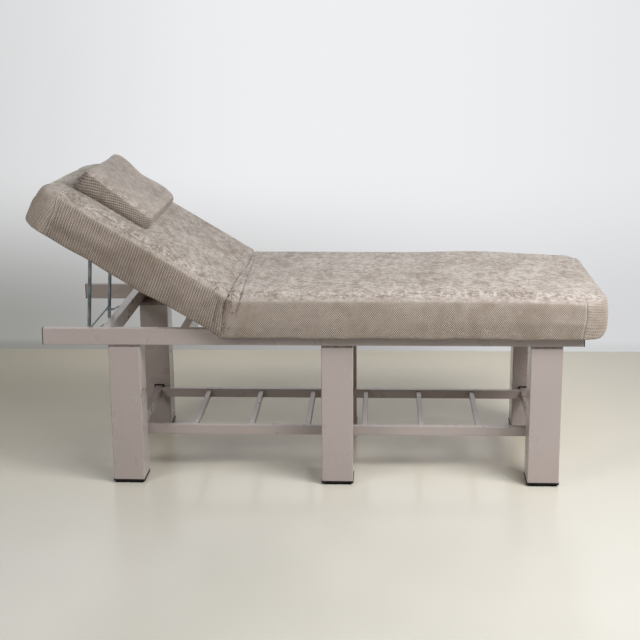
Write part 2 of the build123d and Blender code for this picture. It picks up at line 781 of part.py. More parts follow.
def catch_strip(y):
    """A flat strip under the prop's bar: a fall, a pressed step up, and a flange on the head crossbar."""
    face_x = head_crossbar_x - rail_width / 2
    step_x = prop_bar_x() + catch_step_from_bar
    top = [(prop_bar_x() + catch_end_short_of_bar, catch_rest + catch_end_short_of_bar * catch_fall),
           (step_x, catch_step_foot), (step_x + catch_step_run, catch_top), (face_x, catch_top)]
    under = [(x, z - catch_thickness) for x, z in reversed(top)]
    side_view = Plane.XZ.offset(catch_width / 2 - y) * make_face(Polyline(*top, *under, close=True))
    strip = extrude(side_view, -catch_width)
    flange = block((face_x - catch_thickness, face_x), around(y, catch_width),
                   (catch_top - catch_thickness, catch_top + catch_flange_height))
    return strip + flange


def prop_catches():
    """The two stepped strips on the head crossbar under the prop's lower bar, and their bolts."""
    nodes = {}
    for (name, side), (x, y, z) in zip(sides.items(), catch_bolt_places()):
        start = (x - catch_thickness - overrun, y, z)
        hole = rod(catch_bolt_radius + screw_fit, start, catch_thickness + 2 * overrun, "x")
        nodes["prop_catch_" + name] = catch_strip(side * catch_side) - hole
    bolts = []
    for x, y, z in catch_bolt_places():
        head_x = x - catch_thickness
        shank = rod(catch_bolt_radius, (head_x, y, z), catch_thickness + catch_bolt_bite, "x")
        bolts.append(shank + hexagon_head(catch_bolt_head_radius, -catch_bolt_head_height, (head_x, y, z), "x"))
    nodes["catch_bolts"] = group(bolts)
    return nodes


def main():
    os.makedirs("parts", exist_ok=True)
    nodes = {}
    for make in (side_rails, rail_end_plugs, crossbars, legs, leg_top_plates, foot_caps, leg_fasteners,
                 shelf_rails, shelf_slats, shelf_ends, seat, backrest, pillow, prop, prop_catches):
        nodes.update(make())
    for name, shape in nodes.items():
        export_step(shape, "parts/" + name + ".step")


main()
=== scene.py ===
import json
import math

import bmesh
import bpy
import numpy as np
from mathutils import Matrix, Vector

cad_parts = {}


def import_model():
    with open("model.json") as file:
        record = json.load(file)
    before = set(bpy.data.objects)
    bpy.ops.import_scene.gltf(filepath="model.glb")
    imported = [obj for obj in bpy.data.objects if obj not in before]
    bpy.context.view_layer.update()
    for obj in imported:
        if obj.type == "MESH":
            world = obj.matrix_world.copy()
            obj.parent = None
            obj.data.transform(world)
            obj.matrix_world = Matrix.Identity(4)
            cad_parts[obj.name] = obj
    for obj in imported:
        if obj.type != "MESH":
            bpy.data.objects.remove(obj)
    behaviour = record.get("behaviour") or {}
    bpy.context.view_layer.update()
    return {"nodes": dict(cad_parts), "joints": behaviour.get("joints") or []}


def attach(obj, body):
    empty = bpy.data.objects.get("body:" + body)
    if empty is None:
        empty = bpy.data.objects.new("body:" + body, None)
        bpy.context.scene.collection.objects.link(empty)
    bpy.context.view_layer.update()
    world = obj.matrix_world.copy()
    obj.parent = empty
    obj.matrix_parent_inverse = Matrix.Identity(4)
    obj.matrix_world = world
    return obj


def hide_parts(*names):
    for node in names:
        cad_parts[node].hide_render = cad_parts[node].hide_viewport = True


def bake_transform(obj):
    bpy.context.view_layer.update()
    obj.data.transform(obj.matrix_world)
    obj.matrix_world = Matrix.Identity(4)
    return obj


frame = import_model()

# Where the backrest folds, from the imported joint
recline_joint = next(joint for joint in frame["joints"] if joint["name"] == "recline")
hinge = np.array(recline_joint["pos_m"], float)
recline = math.radians(31.5)
fold_lean = math.tan(recline / 2)

# The pads, in metres
seat_length = 1.143
backrest_length = 0.686
pad_width = 0.704
pad_height = 0.116
skirt_drop = 0.020
pad_corner = 0.075
pad_edge_roll = 0.034
pad_crown = 0.005
pad_draw_in = 0.005
pad_head_roll_share = 1.3
pad_foot_roll_share = 0.3
board_above_hinge = 0.0042
fold_reach = 0.09
hem_turn = 0.0035
hem_height = 0.022
hole_hem_width = 0.014
hole_corner_gap = 0.001
hole_cut_low, hole_cut_high = -0.1, 0.2
hole_lining_low = -0.001
hole_edge_share = 1.3
hole_margin = 0.02
hole_steps = 20
underside_reach = 0.004
edge_turns = (0, 15, 30, 45, 60, 75, 87)
crown_shares = (0.12, 0.3, 0.5, 0.75)
cover_face_size = 0.0075
cover_steep, cover_level = 0.25, 0.75
cover_held_to, cover_loose_from = -0.012, 0.03
cover_pressure = 3.0
cover_swell = 0.006

# Where the pads' tops lie lower than drawn, and how much more so at the far side
foot_sink_from, foot_sink, foot_sink_far = 0.75, 0.008, 0.008
head_sink_from, head_sink, head_sink_far = 0.60, 0.002, 0.036
head_sink_to = backrest_length + 0.01
seat_sink_far = 0.0045
seat_sink_starts, seat_sink_ends = (-0.01, 0.02), (0.55, 0.80)
head_hollow, head_hollow_at, head_hollow_reach = 0.012, -0.625, 0.05
head_hollow_near, head_hollow_far = (-0.30, -0.19), (-0.02, 0.20)

# The hem: how far it hangs lower, its waves (size, radians a metre, start, lean), and the foot end's round
hem_low, hem_low_back, hem_low_foot = 0.0015, 0.0045, 0.002
hem_back_starts, hem_foot_from = (0.12, 0.30), 0.5
hem_waves = ((0.0011, 21, 0, 5), (0.0008, 49, 2, 9))
hem_wave_top = 0.03
under_round, under_round_reach, under_round_top = 0.010, 0.08, 0.002

# The face hole and the pillow
hole_from_hinge = 0.562
hole_half_length = 0.070
hole_half_width = 0.056
pillow_from_hinge = 0.478
pillow_half_width = 0.126
pillow_half_length = 0.246
pillow_height = 0.055
pillow_roll = 0.018
pillow_side_share = 0.8
pillow_wedge = 0.24
pillow_crown = 0.005
pillow_corner = 0.030
pillow_draw_in = 0.002
pillow_gap = 0.0003
pillow_near_share = 0.13
pillow_hollow, pillow_hollow_at, pillow_hollow_reach = 0.011, -0.01, 0.055
pillow_hollow_from = 0.02
pillow_face_size = 0.005
pillow_steep, pillow_level = 0.50, 0.93
pillow_held_to = 0.015
pillow_pressure = 4.0
pillow_swell = 0.006

# Creases at the fold: how far up the near wall (below 0) and over the top, where along the pads, and how deep
creases = [
    ((-0.136, -0.012, 0.0), (-0.100, -0.012, 0.2), (-0.068, -0.022, 0.7), (-0.041, -0.027, 1.0),
     (-0.020, -0.025, 1.0), (0.0, -0.021, 0.9), (0.19, -0.019, 0.8), (0.38, 0.0, 0.8), (0.62, 0.0, 0.8)),
    ((-0.070, 0.024, 0.0), (-0.040, 0.026, 0.8), (-0.016, 0.029, 0.8), (0.04, 0.035, 0.7),
     (0.20, 0.027, 0.6), (0.457, 0.021, 0.5), (0.62, 0.004, 0.0)),
    ((-0.125, -0.038, 0.0), (-0.105, -0.042, 0.5), (-0.048, -0.054, 0.6), (-0.030, -0.060, 0.0)),
    ((-0.040, -0.088, 0.0), (-0.020, -0.088, 0.8), (0.0, -0.084, 0.7), (0.02, -0.078, 0.0)),
]
crease_reach = 0.005
crease_depth = 0.006
fold_swell = 0.005
fold_swell_at = 0.004
fold_swell_reach = 0.017
fold_swell_starts = (-0.12, -0.03)
fold_near_reach = 0.40
skirt_calm_top = 0.01

# Seams on the pads' corners: height and how far along
foot_seam = ((-0.020, 1.062), (0.050, 1.072), (0.096, 1.072))
head_seam = ((-0.020, -0.604), (0.050, -0.608), (0.079, -0.616), (0.102, -0.626))

# How many steps the hold on the cloth has
hold_steps = 10

# The weaves' pitches
rib_pitch, rib_stitch = 0.0079, 0.0062
twill_pitch = 0.0061
foot_row_pitch, foot_stitch = 0.0088, 0.0068
lattice_pitch, lattice_row_pitch = 0.0074, 0.0058
pillow_row_pitch, pillow_stitch = 0.0068, 0.0060

# Most of a noise's values lie between these
usual = (0.3, 0.7)

# The photograph's view: focal length and width in its own pixels, and three turns in degrees
focal_pixels, picture_pixels = 1356, 640
sensor_width = 36
camera_turn, camera_tip, camera_roll = -2.79, 14.048, -0.46
camera_place = (0.20315, -4.2298, 1.5009)

# The floor, the wall behind and the pale surroundings past them
floor_reach = 7
wall_behind = 1.24
wall_height = 5
floor_fades = (2.2, 4.5)


# Small tools

def new_piece(name, points, faces):
    """A mesh object in the row frame."""
    mesh = bpy.data.meshes.new(name)
    mesh.from_pydata([tuple(point) for point in points], [], faces)
    mesh.update()
    piece = bpy.data.objects.new(name, mesh)
    bpy.context.scene.collection.objects.link(piece)
    return piece


def places(piece):
    """The mesh's vertices as an array."""
    found = np.zeros(len(piece.data.vertices) * 3)
    piece.data.vertices.foreach_get("co", found)
    return found.reshape(-1, 3)


def normals(piece):
    """The mesh's vertex normals as an array."""
    found = np.zeros(len(piece.data.vertices) * 3)
    piece.data.vertices.foreach_get("normal", found)
    return found.reshape(-1, 3)


def move_to(piece, points):
    """Puts the mesh's vertices at these points."""
    piece.data.vertices.foreach_set("co", np.asarray(points, float).ravel())
    piece.data.update()


def apply_modifiers(piece):
    """Makes what the modifiers show the piece's own mesh."""
    graph = bpy.context.evaluated_depsgraph_get()
    made = bpy.data.meshes.new_from_object(piece.evaluated_get(graph))
    piece.modifiers.clear()
    piece.data = made


def smooth_step(value, low, high):
    """0 below low, 1 above high, and a smooth climb between."""
    share = np.clip((value - low) / (high - low), 0, 1)
    return share * share * (3 - 2 * share)


def keep_vector(piece, name, values):
    """Stores one vector for each vertex."""
    attribute = piece.data.attributes.get(name) or piece.data.attributes.new(name, "FLOAT_VECTOR", "POINT")
    attribute.data.foreach_set("vector", np.asarray(values, np.float32).ravel())


def read_vector(piece, name):
    """The stored vector of each vertex."""
    found = np.zeros(len(piece.data.vertices) * 3, np.float32)
    piece.data.attributes[name].data.foreach_get("vector", found)
    return found.reshape(-1, 3).astype(float)


def keep_number(piece, name, values):
    """Stores one number for each vertex."""
    attribute = piece.data.attributes.get(name) or piece.data.attributes.new(name, "FLOAT", "POINT")
    attribute.data.foreach_set("value", np.asarray(values, np.float32).ravel())


def on_line(points, at):
    """Reads a line of points (place, value) at each place."""
    places_of, values = zip(*points)
    return np.interp(at, places_of, values)


# The pads' form, drawn flat: X from the fold, Y across, Z above the board's underside

def outline(low, high, half_width, corner, steps):
    """A rounded rectangle, as points."""
    points = []
    for x, y, start in ((high, 1, 0), (low, 1, 90), (low, -1, 180), (high, -1, 270)):
        middle_x = x - corner if x == high else x + corner
        middle_y = y * (half_width - corner)
        for step in range(steps + 1):
            turn = math.radians(start + 90 * step / steps)
            points.append((middle_x + corner * math.cos(turn), middle_y + corner * math.sin(turn)))
    return points


def ringed(name, low, high, half_width, corner, levels, steps=14):
    """A closed form through rounded rectangles: each level is a height and how far sides and ends draw in."""
    points, faces = [], []
    for height, side_in, low_in, high_in in levels:
        turn_in = max(corner - side_in, corner / 3)
        ring = outline(low + low_in, high - high_in, half_width - side_in, turn_in, steps)
        points += [(x, y, height) for x, y in ring]
    count = len(points) // len(levels)
    for level in range(len(levels) - 1):
        for index in range(count):
            after = (index + 1) % count
            base = level * count
            faces.append((base + index, base + after, base + count + after, base + count + index))
    faces.append(tuple(reversed(range(count))))
    faces.append(tuple(range(len(points) - count, len(points))))
    return new_piece(name, points, faces)


def edge_levels(height, skirt, roll, shares, crown, draw_in, half_width):
    """Heights of a pad's side, edge and crown, with how far its sides, low and high ends draw in at each."""
    edge_top = height - crown
    edge_start = edge_top - roll
    levels = [(-skirt, draw_in, draw_in, draw_in), (edge_start / 3, 0, 0, 0)]
    for turn in edge_turns:
        rise = roll * math.sin(math.radians(turn))
        rolled = roll * (1 - math.cos(math.radians(turn)))
        levels.append((edge_start + rise, *[draw_in / 4 + share * rolled for share in shares]))
    start = levels[-1][1:]
    for share in crown_shares:
        run = share * (half_width - start[0])
        levels.append((edge_top + crown * (1 - (1 - share) ** 2), *[inward + run for inward in start]))
    return levels


def folded(flat):
    """Where the points of the flat pads lie, with the backrest raised and both pads pressed at the fold."""
    along = np.abs(flat[:, 0])
    above = flat[:, 2] + board_above_hinge
    edge = above * fold_lean
    pressed = edge + (fold_reach - edge) * along / fold_reach
    along = np.where(along < fold_reach, pressed, along)
    seat_x = hinge[0] + along
    seat_z = hinge[2] + above
    back_x = hinge[0] - along * math.cos(recline) + above * math.sin(recline)
    back_z = hinge[2] + along * math.sin(recline) + above * math.cos(recline)
    on_seat = flat[:, 0] >= 0
    return np.stack([np.where(on_seat, seat_x, back_x), flat[:, 1], np.where(on_seat, seat_z, back_z)], 1)


def drooped(flat):
    """Lowers the pads' tops as in the photograph, rounds the foot end under and lets the hem wander."""
    along, across, height = flat.T
    far = smooth_step(across, -pad_width / 2, pad_width / 2)
    toward_foot = smooth_step(along, foot_sink_from, seat_length) * (foot_sink + foot_sink_far * far)
    toward_head = smooth_step(-along, head_sink_from, head_sink_to) * (head_sink + head_sink_far * far)
    seat_middle = seat_sink_far * far * smooth_step(along, *seat_sink_starts)
    seat_middle = seat_middle * (1 - smooth_step(along, *seat_sink_ends))
    hollow_across = smooth_step(across, *head_hollow_near) * (1 - smooth_step(across, *head_hollow_far))
    hollow = head_hollow * hollow_across * np.exp(-(((along - head_hollow_at) / head_hollow_reach) ** 2))
    drop = (toward_foot + toward_head + seat_middle + hollow) * smooth_step(height, 0, pad_height)
    wander = 0
    for size, turns, start, lean in hem_waves:
        wander = wander + size * np.sin(along * turns + start + across * lean)
    hem_down = hem_low + hem_low_back * smooth_step(-along, *hem_back_starts)
    hem_down = hem_down + hem_low_foot * smooth_step(along, hem_foot_from, seat_length)
    low = 1 - smooth_step(height, -skirt_drop, hem_wave_top)
    turned_under = 1 - smooth_step(height, -skirt_drop, under_round_top)
    at_foot = smooth_step(along, seat_length - under_round_reach, seat_length)
    rounded_under = under_round * at_foot * turned_under
    return np.stack([along - rounded_under, across, height - drop + (wander - hem_down) * low], 1)


def remeshed(piece, size):
    """Even square faces all over, which cloth needs."""
    modifier = piece.modifiers.new("even", "REMESH")
    modifier.mode = "VOXEL"
    modifier.voxel_size = size
    apply_modifiers(piece)


def puffed(piece, loose, pressure, most, frames=16):
    """Lets cloth settle under a little pressure, and moves each point out as it swelled, up to `most`.

    `loose` is 0 where the cloth is held.
    """
    before = places(piece)
    outward = normals(piece)
    pins = piece.vertex_groups.new(name="held")
    steps = np.round((1 - loose) * hold_steps).astype(int)
    for step in range(1, hold_steps + 1):
        held = np.nonzero(steps == step)[0]
        if len(held):
            pins.add([int(index) for index in held], step / hold_steps, "REPLACE")
    modifier = piece.modifiers.new("cloth", "CLOTH")
    settings = modifier.settings
    settings.quality = 4
    settings.mass = 0.3
    settings.tension_stiffness = 12
    settings.compression_stiffness = 12
    settings.bending_stiffness = 0.4
    settings.use_pressure = True
    settings.uniform_pressure_force = pressure
    settings.vertex_group_mass = "held"
    settings.effector_weights.gravity = 0
    modifier.collision_settings.use_collision = False
    modifier.point_cache.frame_start = 1
    modifier.point_cache.frame_end = frames
    scene = bpy.context.scene
    for frame_number in range(1, frames + 1):
        scene.frame_set(frame_number)
    apply_modifiers(piece)
    scene.frame_set(1)
    swelled = np.sum((places(piece) - before) * outward, axis=1, keepdims=True)
    move_to(piece, before + outward * most * np.tanh(np.maximum(swelled, swelled / 3) / most))


def finer(piece):
    """One subdivision."""
    modifier = piece.modifiers.new("finer", "SUBSURF")
    modifier.levels = 1
    modifier.render_levels = 1
    apply_modifiers(piece)


def shade_smooth(piece):
    """Smooth shading on every face."""
    piece.data.polygons.foreach_set("use_smooth", [True] * len(piece.data.polygons))
    piece.data.update()


# The cover over both pads

def pads_form():
    """Both pads as one closed form, drawn flat, with the face hole through the backrest."""
    shares = (1, pad_head_roll_share, pad_foot_roll_share)
    levels = edge_levels(pad_height, skirt_drop, pad_edge_roll, shares, pad_crown, pad_draw_in, pad_width / 2)
    form = ringed("bed_cover", -backrest_length, seat_length, pad_width / 2, pad_corner, levels)
    hole_corner = hole_half_width - hole_corner_gap
    hole_levels = [(hole_cut_low, 0, 0, 0), (hole_cut_high, 0, 0, 0)]
    hole = ringed("hole", -hole_half_length, hole_half_length, hole_half_width, hole_corner, hole_levels,
                  hole_steps)
    move_to(hole, places(hole) + np.array([-hole_from_hinge, 0, 0]))
    cut = form.modifiers.new("hole", "BOOLEAN")
    cut.operation = "DIFFERENCE"
    cut.solver = "EXACT"
    cut.object = hole
    apply_modifiers(form)
    bpy.data.objects.remove(hole)
    remeshed(form, cover_face_size)
    return form


def open_below(form):
    """Takes away the closed form's underside, and the hole's wall below the board."""
    work = bmesh.new()
    work.from_mesh(form.data)
    gone = []
    for face in work.faces:
        middle = face.calc_center_median()
        by_length = abs(middle.x + hole_from_hinge) < hole_half_length + hole_margin
        by_width = abs(middle.y) < hole_half_width + hole_margin
        underside = middle.z < -skirt_drop + underside_reach and face.normal.z < -0.5
        if underside or (by_length and by_width and middle.z < 0):
            gone.append(face)
    bmesh.ops.delete(work, geom=gone, context="FACES")
    loose = [vertex for vertex in work.verts if not vertex.link_faces]
    bmesh.ops.delete(work, geom=loose, context="VERTS")
    work.to_mesh(form.data)
    work.free()
    form.data.update()


def hem_way(place):
    """From a point of the hem straight in under the pad, and from the hole's edge straight out."""
    from_hole = Vector((place.x + hole_from_hinge, place.y, 0))
    if from_hole.length < hole_edge_share * hole_half_length:
        return from_hole.normalized()
    core_x = min(max(place.x, pad_corner - backrest_length), seat_length - pad_corner)
    core_y = min(max(place.y, pad_corner - pad_width / 2), pad_width / 2 - pad_corner)
    return Vector((core_x - place.x, core_y - place.y, 0)).normalized()


def turned_hem(form):
    """Turns the lower edge in and up inside the skirt, and the hole's lining out under the board."""
    work = bmesh.new()
    work.from_mesh(form.data)
    edge = [line for line in work.edges if line.is_boundary]
    for vertex in {vertex for line in edge for vertex in line.verts}:
        vertex.co.z = hole_lining_low if vertex.co.z > -skirt_drop / 2 else -skirt_drop
    made = bmesh.ops.extrude_edge_only(work, edges=edge)["geom"]
    inner_lines = [item for item in made if isinstance(item, bmesh.types.BMEdge) and item.is_boundary]
    for vertex in {vertex for line in inner_lines for vertex in line.verts}:
        turn = hem_turn if vertex.co.z < -skirt_drop / 2 else hole_hem_width
        vertex.co += hem_way(vertex.co) * turn
    skirt_lines = [line for line in inner_lines if line.verts[0].co.z < -skirt_drop / 2]
    made = bmesh.ops.extrude_edge_only(work, edges=skirt_lines)["geom"]
    for item in made:
        if isinstance(item, bmesh.types.BMVert):
            item.co.z += hem_height
    bmesh.ops.recalc_face_normals(work, faces=work.faces)
    work.to_mesh(form.data)
    work.free()
    form.data.update()


def over_the_edge(flat):
    """How far each point of the near side lies over the top from the edge, or down the wall if below 0."""
    return flat[:, 1] + pad_width / 2 - (pad_height - flat[:, 2])


def crease_fold(cover):
    """Presses the creases in at the fold, swells the cloth between them and keeps their places."""
    flat = read_vector(cover, "flat")
    along = flat[:, 0]
    over = over_the_edge(flat)
    near = 1 - smooth_step(over, 0.0, fold_near_reach)
    beside_fold = np.exp(-(((along - fold_swell_at) / fold_swell_reach) ** 2))
    shift = fold_swell * near * beside_fold * smooth_step(over, *fold_swell_starts)
    for number, crease in enumerate(creases):
        middle = on_line([(place, x) for place, x, depth in crease], over)
        depth = on_line([(place, depth) for place, x, depth in crease], over)
        shift -= crease_depth * depth * np.exp(-(((along - middle) / crease_reach) ** 2))
        keep_number(cover, "crease_%d" % number, along - middle)
        keep_number(cover, "crease_%d_depth" % number, depth)
    above_hem = smooth_step(flat[:, 2], -skirt_drop, skirt_calm_top)
    move_to(cover, places(cover) + normals(cover) * (shift * above_hem)[:, None])


def keep_surface_values(piece, steep, level):
    """Keeps where the surface is a wall, 1 where its normal rises less than `steep`, and where it rolls."""
    rise = normals(piece)[:, 2]
    keep_number(piece, "wall", 1 - smooth_step(rise, steep, level))
    keep_number(piece, "rolled", 1 - smooth_step(rise, level, 1.0))


def bed_cover():
    """The one fitted cover over the seat and the backrest, which bends at the hinge."""
    cover = pads_form()
    open_below(cover)
    outside = len(cover.data.vertices)
    turned_hem(cover)
    flat = places(cover)
    keep_vector(cover, "flat", flat)
    keep_surface_values(cover, cover_steep, cover_level)
    move_to(cover, folded(drooped(flat)))
    loose = smooth_step(flat[:, 2], cover_held_to, cover_loose_from)
    loose[outside:] = 0
    puffed(cover, loose, cover_pressure, cover_swell)
    finer(cover)
    crease_fold(cover)
    flat = read_vector(cover, "flat")
    keep_number(cover, "foot_seam", flat[:, 0] - on_line(foot_seam, flat[:, 2]))
    keep_number(cover, "head_seam", on_line(head_seam, flat[:, 2]) - flat[:, 0])
    shade_smooth(cover)
    return cover


def pillow_places(flat):
    """Where the pillow's flat points lie on the raised backrest."""
    lifted = flat + np.array([-pillow_from_hinge, 0, pad_height + pillow_gap])
    return folded(lifted)


def slumped(flat):
    """The pillow's flat points, thicker at its head and near sides, and hollow along its far middle."""
    along, across, height = flat.T
    far = smooth_step(across, -pillow_half_length, pillow_half_length / 2)
    in_middle = np.exp(-(((along - pillow_hollow_at) / pillow_hollow_reach) ** 2))
    hollow = pillow_hollow * far * in_middle * smooth_step(height, pillow_hollow_from, pillow_height)
    thicker = (1 - pillow_wedge * along / pillow_half_width) * (1 + pillow_near_share * (1 - far))
    return np.stack([along, across, height * thicker - hollow], 1)


def pillow():
    """The loose pillow."""
    shares = (pillow_side_share, 1, 1)
    levels = edge_levels(pillow_height, 0, pillow_roll, shares, pillow_crown, pillow_draw_in,
                         pillow_half_width)
    form = ringed("pillow", -pillow_half_width, pillow_half_width, pillow_half_length, pillow_corner, levels)
    remeshed(form, pillow_face_size)
    flat = places(form)
    keep_vector(form, "flat", flat)
    keep_surface_values(form, pillow_steep, pillow_level)
    move_to(form, pillow_places(slumped(flat)))
    puffed(form, smooth_step(flat[:, 2], 0, pillow_held_to), pillow_pressure, pillow_swell)
    finer(form)
    shade_smooth(form)
    return form


# Shader tools

class Material:
    """A node material, built a node at a time around one principled shader."""

    def __init__(self, name, **settings):
        self.material = bpy.data.materials.new(name)
        self.material.use_nodes = True
        self.tree = self.material.node_tree
        self.shader = self.tree.nodes["Principled BSDF"]
        for socket, value in settings.items():
            self.shader.inputs[socket.replace("_", " ")].default_value = value

    def add(self, kind, inputs, output=0, **properties):
        """One node, with values or links for its inputs."""
        made = self.tree.nodes.new("ShaderNode" + kind)
        for name, value in properties.items():
            setattr(made, name, value)
        for socket, value in inputs.items():
            if isinstance(value, bpy.types.NodeSocket):
                self.tree.links.new(value, made.inputs[socket])
            else:
                made.inputs[socket].default_value = value
        return made.outputs[output]

    def mix(self, data_type, first_input, output, share, first, second):
        """Two values of one kind, mixed by a share."""
        inputs = {0: share, first_input: first, first_input + 1: second}
        return self.add("Mix", inputs, output, data_type=data_type)

    def math(self, operation, first, second=0.0, third=0.0):
        """One sum."""
        return self.add("Math", {0: first, 1: second, 2: third}, operation=operation)

    def place(self):
        """The point in the object's own frame."""
        return self.add("TexCoord", {}, output="Object")

    def stored(self, name, output="Fac"):
        """A value kept on the mesh."""
        return self.add("Attribute", {}, output=output, attribute_name=name)

    def stretched(self, vector, amounts):
        """The point, scaled by axis."""
        return self.add("VectorMath", {0: vector, 1: amounts}, operation="MULTIPLY")

    def noise(self, vector, scale, detail=3.0, roughness=0.5, distortion=0.0):
        """A noise texture's value."""
        inputs = {"Vector": vector, "Scale": scale, "Detail": detail, "Roughness": roughness,
                  "Distortion": distortion}
        return self.add("TexNoise", inputs)

    def between(self, value, low, high, out_low=0.0, out_high=1.0):
        """Stretches a range of one value onto another, smoothly."""
        inputs = {"Value": value, "From Min": low, "From Max": high, "To Min": out_low, "To Max": out_high}
        return self.add("MapRange", inputs, interpolation_type="SMOOTHSTEP")

    def blend(self, share, first, second):
        """Two colours, mixed."""
        return self.mix("RGBA", 6, 2, share, first, second)

    def split(self, vector):
        """The three parts of a vector."""
        node = self.add("SeparateXYZ", {0: vector}).node
        return node.outputs[0], node.outputs[1], node.outputs[2]

    def blend_number(self, share, first, second):
        """Two numbers, mixed."""
        return self.mix("FLOAT", 2, 0, share, first, second)

    def wave(self, value, pitch):
        """A wave from 0 to 1 with this pitch."""
        turn = self.math("SINE", self.math("MULTIPLY", value, 2 * math.pi / pitch))
        return self.math("ADD", self.math("MULTIPLY", turn, 0.5), 0.5)

    def sum(self, *terms):
        """Numbers, each times its weight, added up."""
        total = 0.0
        for value, weight in terms:
            total = self.math("MULTIPLY_ADD", value, weight, total)
        return total

    def feed(self, socket, value):
        """Leads a value into the shader."""
        self.tree.links.new(value, self.shader.inputs[socket])

    def bump(self, height, strength, distance, under=None):
        """A normal bent by this height, over another bump where there is one."""
        inputs = {"Height": height, "Strength": strength, "Distance": distance}
        if under is not None:
            inputs["Normal"] = under
        return self.add("Bump", inputs)


def colour(red, green, blue):
    """A colour that covers fully."""
    return (red, green, blue, 1.0)


pale_surroundings = colour(0.72, 0.725, 0.73)


# Materials

def enamel():
    """Glossy taupe enamel over steel tube, clean and even."""
    made = Material("frame_enamel", Coat_Weight=0.4, Coat_Roughness=0.10)
    point = made.place()
    dark, light = colour(0.335, 0.286, 0.272), colour(0.352, 0.302, 0.288)
    made.feed("Base Color", made.blend(made.between(made.noise(point, 4.0, 2.0), *usual), dark, light))
    made.feed("Roughness", made.between(made.noise(point, 14.0), *usual, 0.27, 0.33))
    made.feed("Normal", made.bump(made.noise(point, 45.0, 1.0), 0.05, 0.0005))
    return made.material


def dark_plate():
    """The plates in the tops of the legs, dark brown partly as painted shade in the recess between leg and
    rail.
    """
    made = Material("dark_plate", Roughness=0.5, Metallic=0.3)
    point = made.place()
    # Dark brown, partly painted shade of the recess between leg and rail.
    dark, light = colour(0.13, 0.10, 0.095), colour(0.20, 0.165, 0.155)
    made.feed("Base Color", made.blend(made.between(made.noise(point, 60.0), *usual), dark, light))
    made.feed("Normal", made.bump(made.noise(point, 300.0), 0.15, 0.0005))
    return made.material


def black_plastic():
    """Moulded plastic with a fine grain."""
    made = Material("black_plastic", Specular_IOR_Level=0.12)
    point = made.place()
    dark, light = colour(0.006, 0.006, 0.006), colour(0.014, 0.013, 0.013)
    made.feed("Base Color", made.blend(made.between(made.noise(point, 80.0), 0.35, 0.7), dark, light))
    made.feed("Roughness", made.between(made.noise(point, 35.0), *usual, 0.52, 0.68))
    made.feed("Normal", made.bump(made.noise(point, 900.0, 2.0), 0.25, 0.0004))
    return made.material


def plated(name, dark, light, roughness, along):
    """Zinc plating, faintly drawn along one way."""
    made = Material(name, Metallic=0.75)
    point = made.place()
    drawn = made.noise(made.stretched(point, along), 60.0, 4.0, 0.6)
    cloudy = made.noise(point, 25.0, 3.0, 0.6)
    made.feed("Base Color", made.blend(made.between(cloudy, 0.3, 0.72), dark, light))
    made.feed("Roughness", made.between(drawn, *usual, roughness - 0.07, roughness + 0.09))
    made.feed("Normal", made.bump(drawn, 0.12, 0.0004))
    return made.material


def plywood():
    """Bare plywood: long grain on its faces."""
    made = Material("plywood", Roughness=0.7)
    grain = made.noise(made.stretched(made.place(), (1.0, 14.0, 14.0)), 6.0, 5.0, 0.6, 0.6)
    dark, light = colour(0.44, 0.30, 0.17), colour(0.66, 0.50, 0.32)
    made.feed("Base Color", made.blend(made.between(grain, *usual), dark, light))
    made.feed("Normal", made.bump(grain, 0.2, 0.0008))
    return made.material


def line(made, distance, inner, outer):
    """1 on a line, and 0 past `outer` from it."""
    return made.between(made.math("ABSOLUTE", distance), inner, outer, 1.0, 0.0)


def knitted(made, across_rows, along_rows, row_pitch, stitch_pitch):
    """Rows of a rib knit, broken into stitches."""
    rows = made.wave(across_rows, row_pitch)
    shifted = made.sum((across_rows, 0.5), (along_rows, 1.0))
    stitches = made.wave(shifted, stitch_pitch)
    return made.sum((rows, 0.55), (stitches, 0.45))


def painted_crease_shade(made, flat):
    """How much painted shade darkens the cloth in the creases at the fold, with short broken wrinkles between
    them that are painted shade alone.
    """
    broken = made.between(made.noise(flat, 85.0, 2.0), 0.42, 0.55, 0.15, 1.0)
    bends = made.math("SUBTRACT", made.noise(flat, 60.0, 3.0, 0.7), 0.5)
    along = made.split(flat)[0]
    dark = 0.0
    for number in range(len(creases)):
        distance = made.math("MULTIPLY_ADD", bends, 0.012, made.stored("crease_%d" % number))
        shown = made.math("MULTIPLY", line(made, distance, 0.0008, 0.0040), broken)
        dark = made.math("MULTIPLY_ADD", shown, made.stored("crease_%d_depth" % number), dark)
    folds = made.wave(made.math("MULTIPLY_ADD", bends, 0.05, along), 0.0105)
    few = made.between(made.noise(made.stretched(flat, (1.0, 0.35, 1.0)), 55.0, 2.0, 0.6), 0.53, 0.63)
    from_fold = made.math("ABSOLUTE", made.math("SUBTRACT", along, fold_swell_at))
    by_fold = made.between(from_fold, 0.012, 0.042, 0.8, 0.0)
    short = made.math("MULTIPLY", made.between(folds, 0.72, 0.95), by_fold)
    return made.math("MINIMUM", made.math("MULTIPLY_ADD", short, few, dark), 1.0)


def at_seam(made, seam):
    """0 on the pads' long side of a corner seam, and 1 past it."""
    return made.between(made.stored(seam), -0.001, 0.001)


